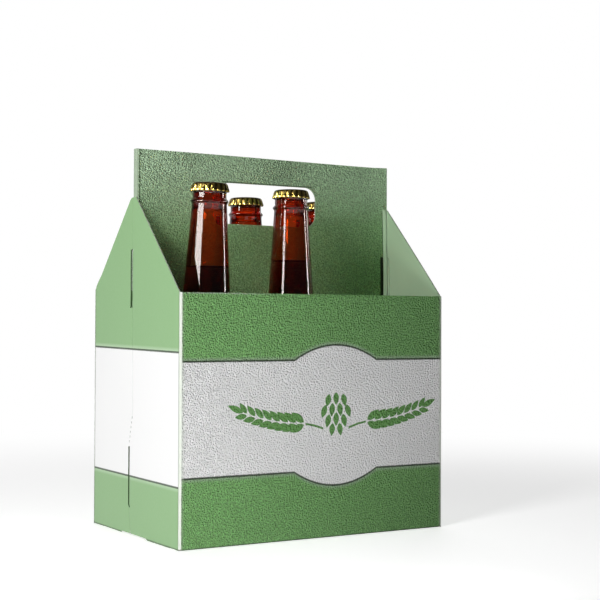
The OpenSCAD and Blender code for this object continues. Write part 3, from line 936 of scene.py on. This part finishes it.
OUT = clean(bez((0, 4.5), (12, 4.5), (20, 3), (26, 0.5), 10) + arc(27.6, 1.6, 1.6, 232, 290, 4)[1:] + arc(28.2, 6.8, 6.8, -78, 0, 10)
            + [[35, 9], [35, 30], [35, 60], [35, 95], [35, 120]] + bez((35, 132), (35, 156), (18.6, 160), (17.4, 178), 30)
            + [[17.4 - 4.5 * k / 8, 178 + 65.9 * k / 8] for k in range(1, 9)]
            + arc(12.7, 246.3, 1.3, -62, 62, 8) + arc(13.0, 248.9, 0.6, 225, 180, 3) + [[12.4, 250.6]] + arc(13.0, 252.3, 0.6, 180, 130, 3)
            + [[13.02, 253.9]] + arc(11.85, 257.9, 1.2, 0, 80, 6) + [[11.4, 259.1], [9.4, 259.1]])
IN = clean(arc(9.2, 257.9, 1.2, 90, 180, 5) + [[8, 252], [8, 245.3]] + bez((8, 245.3), (8, 243), (9.1, 242), (9.5, 240.3), 5)
           + [[9.5 + 4.5 * k / 8, 240.3 - 62.3 * k / 8] for k in range(1, 9)]
           + bez((14, 178), (15.2, 159), (32, 154), (32, 130.5), 30) + [[32, 100], [32, 60], [32, 30], [32, 15]]
           + arc(24, 15, 8, 0, -70, 8) + bez((25, 7.2), (18, 8.4), (10, 9), (0, 9), 8))


def inner_r(z):
    return np.where(z > 178, 14 - 4.5 * (z - 178) / 62.3, 14.0)


SEGS = 72


def stand(foot, lean):
    return Matrix.Translation(Vector(foot)) @ Matrix.Rotation(math.radians(lean[1]), 4, "Y") @ Matrix.Rotation(math.radians(lean[0]), 4, "X")


def place(verts, m):
    r = np.array(m.to_3x3())
    return verts @ r.T + np.array(m.translation)


def glass_mesh(name, m, mat):
    v, f = lathe(OUT + IN, SEGS)
    b = Build()
    b.add(place(v, m), f, [0] * len(f))
    return b.object(name, [mat], 60)


def drink_mesh(name, m, fill_z, mat):
    """The drink fills the bottle to a level surface, drawn up a little at the glass."""
    lap = 0.08
    low = [[max(r + lap, 0.0) if r > 1e-6 else 0.0, z - (lap if z < 20 else 0)] for r, z in IN if z <= 178.01][::-1]
    level = m.translation.z + (m.to_3x3() @ Vector((0, 0, fill_z))).z
    rot = np.array(m.to_3x3())
    ang = np.array([2 * math.pi * i / SEGS for i in range(SEGS)])

    def height(r, lift):
        z = np.full(SEGS, float(fill_z))
        rr = np.full(SEGS, float(r if r is not None else 0.0))
        for _ in range(4):
            if r is None:
                rr = inner_r(z) + lap
            z = (level + lift - m.translation.z - rot[2, 0] * rr * np.cos(ang) - rot[2, 1] * rr * np.sin(ang)) / rot[2, 2]
        return rr, z

    rt, zt = height(None, 1.1)
    rings = list(low)
    for k in range(1, 7):
        z = 178 + (zt - 178) * k / 6
        rings.append(list(zip((inner_r(z) + lap).tolist(), z.tolist())))
    for gap, lift in ((0.35, 0.62), (0.9, 0.28), (1.8, 0.08), (3.2, 0.0), (6.5, 0.0)):
        r = rt - gap
        z = (level + lift - m.translation.z - rot[2, 0] * r * np.cos(ang) - rot[2, 1] * r * np.sin(ang)) / rot[2, 2]
        rings.append(list(zip(r.tolist(), z.tolist())))
    rings.append([0.0, float((level - m.translation.z) / rot[2, 2])])
    v, f = lathe(rings, SEGS)
    b = Build()
    b.add(place(v, m), f, [0] * len(f))
    return b.object(name, [mat], 50)


def label_mesh(name, m, mat):
    """Paper label round the body, its ends almost meeting at the back."""
    n = 120
    a = np.radians(np.linspace(92, 448, n + 1))
    zs = arange_to(31, 128, 12)
    verts, faces = [], []
    for r in (35.14, 35.02):
        for z in zs:
            verts += [(r * math.cos(x), r * math.sin(x), z) for x in a]
    k, h = n + 1, len(zs)
    at = lambda s, j, i: s * h * k + j * k + i
    for j in range(h - 1):
        for i in range(n):
            faces.append((at(0, j, i), at(0, j, i + 1), at(0, j + 1, i + 1), at(0, j + 1, i)))
            faces.append((at(1, j, i), at(1, j + 1, i), at(1, j + 1, i + 1), at(1, j, i + 1)))
        faces.append((at(0, j, 0), at(0, j + 1, 0), at(1, j + 1, 0), at(1, j, 0)))
        faces.append((at(0, j, n), at(1, j, n), at(1, j + 1, n), at(0, j + 1, n)))
    for i in range(n):
        faces.append((at(0, 0, i), at(1, 0, i), at(1, 0, i + 1), at(0, 0, i + 1)))
        faces.append((at(0, h - 1, i), at(0, h - 1, i + 1), at(1, h - 1, i + 1), at(1, h - 1, i)))
    b = Build()
    b.add(place(np.array(verts), m), faces, [0] * len(faces))
    return b.object(name, [mat], 50)


def cap_mesh(name, m, mats, turn):
    """Crimped crown: a dished sheet whose skirt is pressed into 21 flutes."""
    n = 21 * 10
    ang = np.array([2 * math.pi * i / n for i in range(n)])
    ridge = (0.5 + 0.5 * np.cos(21 * (ang + turn))) ** 0.8

    def ring(r, z, depth, lift=0.0):
        return list(zip((r - depth * (1 - ridge)).tolist(), (z + lift * ridge).tolist()))

    top = [[0.0, 259.80], [4.0, 259.84], [8.0, 259.95], [10.2, 260.0], [11.4, 259.93]]
    out = list(top)
    for r, z, d in ((12.1, 259.72, 0.0), (12.65, 259.36, 0.04), (13.05, 258.85, 0.12), (13.35, 258.2, 0.24), (13.62, 257.4, 0.40), (13.88, 256.5, 0.58),
                    (14.14, 255.7, 0.76), (14.40, 255.0, 0.90), (14.56, 254.4, 0.98), (14.54, 253.95, 1.0)):
        out.append(ring(r, z, d))
    out.append(ring(14.42, 253.62, 1.0))
    out.append(ring(14.28, 253.52, 1.0))
    inner = []
    for r, z, d in ((14.20, 253.75, 1.0), (14.16, 254.15, 0.98), (14.03, 254.8, 0.88), (13.83, 255.6, 0.70), (13.62, 256.5, 0.45), (13.36, 257.4, 0.24),
                    (13.10, 258.2, 0.06), (12.80, 258.80, 0.0), (12.42, 259.18, 0.0), (11.95, 259.50, 0.0)):
        inner.append(ring(r, z, d))
    rings = out + inner + [[11.2, 259.66], [8.0, 259.67], [4.0, 259.56], [0.0, 259.52]]
    v, f = lathe(rings, n)
    f = [t[::-1] for t in f]
    # The valleys between the flutes, the rim of the top and the inside are painted dark: painted shade in the hollows
    # and along the rim
    c = v[np.array([(t + t[-1:])[:4] for t in f])].mean(1)
    r, a = np.hypot(c[:, 0], c[:, 1]), np.arctan2(c[:, 1], c[:, 0])
    valley = (np.cos(21 * (a + turn)) < -0.15) & (c[:, 2] < 258.6)
    rim = (r > 11.6) & (c[:, 2] > 258.9)
    b = Build()
    b.add(place(v, m), f, (valley | rim).astype(int).tolist())
    return b.object(name, list(mats), 60)


def liner_mesh(name, m, mat):
    prof = clean([[0, 259.12], [7.6, 259.12], [8.0, 259.12]] + [[8.4, 259.13], [11.4, 259.13]] + arc(11.6, 259.30, 0.17, -90, 90, 5) + [[11.2, 259.49], [4, 259.49], [0, 259.49]])
    v, f = lathe(prof, SEGS)
    b = Build()
    b.add(place(v, m), f, [0] * len(f))
    return b.object(name, [mat], 50)


BOTTLES = {
    "front_left": ((-77.4, -36.2, 1.95), (2.2, 0.5), 197.5, 0.05),
    "front_middle": ((-1.2, -38.2, 0.8), (0, 0), 204.8, 0.12),
    "back_left": ((-73.2, 38.2, 0.8), (0, 0), 198.0, 0.21),
    "back_middle": ((1.2, 38.2, 0.8), (0, 0), 202.0, 0.02),
    "back_right": ((73.2, 38.2, 0.8), (0, 0), 200.0, 0.17),
}


def bottles():
    made = {}
    shade = cap_material("cap_shade", (0.085, 0.055, 0.012, 1), (0.14, 0.095, 0.025, 1))
    glass, drink, gold, paper, soft = glass_material(), drink_material(), cap_material("cap_gold", (0.50, 0.38, 0.095, 1), (0.68, 0.53, 0.165, 1)), label_material(), liner_material()
    for key, (foot, lean, fill_z, turn) in BOTTLES.items():
        m = stand(foot, lean)
        for ob, node, slot_name in ((glass_mesh("glass_" + key, m, glass), "bottle_" + key, "amber_glass"),
                                    (drink_mesh("beverage_" + key, m, fill_z, drink), "drink_" + key, "drink"),
                                    (label_mesh("paper_" + key, m, paper), "label_" + key, "label"),
                                    (cap_mesh("crown_" + key, m, (gold, shade), turn), "cap_" + key, "cap"),
                                    (liner_mesh("seal_" + key, m, soft), "liner_" + key, "liner")):
            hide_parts(node)
            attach(ob, "root")
            made.setdefault(slot_name, []).append(ob)
    return made


# ------------------------------------------------------------------ stage

def floor():
    n, rings = 96, [0.0, 0.25, 0.5, 0.8, 1.2, 2.0, 4.0]
    verts, faces = [(0, 0, 0)], []
    for r in rings[1:]:
        verts += [(r * math.cos(2 * math.pi * i / n), r * math.sin(2 * math.pi * i / n), 0) for i in range(n)]
    for i in range(n):
        faces.append((0, 1 + i, 1 + (i + 1) % n))
    for k in range(len(rings) - 2):
        for i in range(n):
            a, b = 1 + k * n + i, 1 + k * n + (i + 1) % n
            faces.append((a, a + n, b + n, b))
    me = bpy.data.meshes.new("floor")
    me.from_pydata(verts, [], faces)
    t = Tree("floor_pale")
    v = t.coords()
    x, y, z = t.xyz(v)
    r = t.math("SQRT", t.math("ADD", t.math("MULTIPLY", x, x), t.math("MULTIPLY", y, y)))
    p = t.add("ShaderNodeBsdfPrincipled")
    p.inputs["Base Color"].default_value = (0.92, 0.92, 0.92, 1)
    p.inputs["Roughness"].default_value = 0.6
    p.inputs["Emission Color"].default_value = (1, 1, 1, 1)
    p.inputs["Emission Strength"].default_value = 0.59
    em = t.add("ShaderNodeEmission")
    em.inputs["Color"].default_value = (1, 1, 1, 1)
    em.inputs["Strength"].default_value = 1.0
    mx = t.add("ShaderNodeMixShader")
    t.put(mx.inputs[0], t.step(r, 0.30, 0.95))
    t.t.links.new(p.outputs[0], mx.inputs[1])
    t.t.links.new(em.outputs[0], mx.inputs[2])
    # What the floor throws back on the card falls off to the right, away from the light
    glow = t.add("ShaderNodeEmission")
    glow.inputs["Color"].default_value = (1, 1, 1, 1)
    t.put(glow.inputs["Strength"], t.step(x, -0.22, 0.22, 1.45, 0.46))
    lp = t.add("ShaderNodeLightPath")
    pick = t.add("ShaderNodeMixShader")
    t.t.links.new(lp.outputs["Is Diffuse Ray"], pick.inputs[0])
    t.t.links.new(mx.outputs[0], pick.inputs[1])
    t.t.links.new(glow.outputs[0], pick.inputs[2])
    t.t.links.new(pick.outputs[0], t.out.inputs["Surface"])
    me.materials.append(t.mat)
    ob = bpy.data.objects.new("floor", me)
    bpy.context.scene.collection.objects.link(ob)


def world():
    w = bpy.data.worlds.new("studio")
    bpy.context.scene.world = w
    w.use_nodes = True
    t = w.node_tree
    t.nodes.clear()

    def add(kind, **kw):
        n = t.nodes.new(kind)
        for k, v in kw.items():
            setattr(n, k, v)
        return n

    out = add("ShaderNodeOutputWorld")
    bg = add("ShaderNodeBackground")
    white = add("ShaderNodeBackground")
    white.inputs["Color"].default_value = (1, 1, 1, 1)
    tc = add("ShaderNodeTexCoord")
    dot = add("ShaderNodeVectorMath", operation="DOT_PRODUCT")
    t.links.new(tc.outputs["Generated"], dot.inputs[0])
    dot.inputs[1].default_value = (0.36, 0.933, 0.0)
    mr = add("ShaderNodeMapRange", interpolation_type="SMOOTHSTEP")
    t.links.new(dot.outputs["Value"], mr.inputs["Value"])
    mr.inputs["From Min"].default_value = 0.45
    mr.inputs["From Max"].default_value = 0.85
    mr.inputs["To Min"].default_value = 0.05
    mr.inputs["To Max"].default_value = 0.95
    sep = add("ShaderNodeSeparateXYZ")
    t.links.new(tc.outputs["Generated"], sep.inputs[0])
    up = add("ShaderNodeMapRange", interpolation_type="SMOOTHSTEP")
    t.links.new(sep.outputs[2], up.inputs["Value"])
    up.inputs["From Min"].default_value = 0.70
    up.inputs["From Max"].default_value = 0.95
    up.inputs["To Min"].default_value = 0.0
    up.inputs["To Max"].default_value = 0.25
    addn = add("ShaderNodeMath", operation="ADD")
    t.links.new(mr.outputs[0], addn.inputs[0])
    t.links.new(up.outputs[0], addn.inputs[1])
    # The backdrop is white; it is seen dimmer through the glass, and it doesn't light the card
    lp = add("ShaderNodeLightPath")
    dim = add("ShaderNodeMath", operation="MULTIPLY_ADD")
    t.links.new(lp.outputs["Is Transmission Ray"], dim.inputs[0])
    dim.inputs[1].default_value = -0.64
    dim.inputs[2].default_value = 1.0
    level = add("ShaderNodeMath", operation="MULTIPLY")
    t.links.new(addn.outputs[0], level.inputs[0])
    t.links.new(dim.outputs[0], level.inputs[1])
    t.links.new(level.outputs[0], bg.inputs["Strength"])
    mx = add("ShaderNodeMixShader")
    t.links.new(lp.outputs["Is Camera Ray"], mx.inputs[0])
    t.links.new(bg.outputs[0], mx.inputs[1])
    t.links.new(white.outputs[0], mx.inputs[2])
    t.links.new(mx.outputs[0], out.inputs["Surface"])
    w.cycles_visibility.diffuse = False


def area(name, at, aim, size, power, only=None, glossy=True, bounces=None, through=True):
    d = bpy.data.lights.new(name, "AREA")
    d.shape = "RECTANGLE"
    d.size, d.size_y = size
    d.energy = power
    d.color = (1.0, 0.97, 0.93) if only else (1.0, 1.0, 1.0)
    if bounces is not None:
        d.cycles.max_bounces = bounces
    ob = bpy.data.objects.new(name, d)
    ob.location = at
    ob.rotation_euler = (Vector(aim) - Vector(at)).to_track_quat("-Z", "Y").to_euler()
    ob.visible_camera = False
    ob.visible_glossy = glossy
    ob.visible_transmission = through
    bpy.context.scene.collection.objects.link(ob)
    if only:
        c = bpy.data.collections.new(name + "_on")
        for o in only:
            c.objects.link(o)
        ob.light_linking.receiver_collection = c
    return ob


def lights(made):
    clear = made["amber_glass"] + made["drink"]
    for ob in clear:
        ob.visible_shadow = False
    area("key", (-0.82, -0.47, 0.55), (-0.03, -0.02, 0.18), (0.28, 0.28), 5.8, glossy=False)
    area("front_wash", (-0.13, -0.34, 0.032), (-0.09, -0.08, 0.10), (0.14, 0.05), 0.31, glossy=False)
    area("soft_fill", (-0.90, -1.60, 0.80), (0.0, 0.0, 0.15), (1.60, 1.20), 0.8, glossy=False)
    area("back_fill", (0.70, 1.40, 0.90), (0.0, 0.0, 0.15), (1.20, 1.20), 6.0, glossy=False, through=False)
    area("strip_left", (-0.89, -0.13, 0.30), (-0.04, -0.06, 0.22), (0.57, 0.90), 26.0, only=clear, bounces=1, through=False)
    area("strip_right", (0.77, -0.27, 0.30), (-0.04, -0.04, 0.22), (0.10, 0.80), 3.4, only=clear, bounces=1, through=False)
    area("edge_right", (0.84, 0.147, 0.30), (-0.04, -0.04, 0.22), (0.32, 0.80), 2.6, only=clear, bounces=1, through=False)
    area("cap_left", (-0.89, 0.02, 0.34), (-0.04, -0.04, 0.25), (0.28, 0.50), 36.0, only=made["cap"], bounces=2)
    area("cap_front", (-0.66, -0.58, 0.34), (-0.04, -0.04, 0.25), (0.12, 0.45), 10.0, only=made["cap"], bounces=2)


def camera():
    cam = bpy.data.cameras.new("camera")
    cam.sensor_width, cam.lens = 36.0, 80.555
    cam.clip_start, cam.clip_end = 0.01, 50.0
    yaw, pitch, roll = (math.radians(a) for a in (31.121, 0.947, 0.238))
    fwd = Vector((math.sin(yaw) * math.cos(pitch), math.cos(yaw) * math.cos(pitch), math.sin(pitch)))
    right = Vector((math.cos(yaw), -math.sin(yaw), 0))
    up = right.cross(fwd)
    r2 = right * math.cos(roll) + up * math.sin(roll)
    u2 = up * math.cos(roll) - right * math.sin(roll)
    m = Matrix((r2, u2, -fwd)).transposed().to_4x4()
    m.translation = Vector((-0.5266, -0.9223, 0.1598))
    ob = bpy.data.objects.new("camera", cam)
    ob.matrix_world = m
    bpy.context.scene.collection.objects.link(ob)
    bpy.context.scene.camera = ob


carrier()
pieces = bottles()
floor()
world()
lights(pieces)
camera()
vs = bpy.context.scene.view_settings
vs.view_transform = "Standard"
vs.look = "None"
bpy.context.view_layer.update()
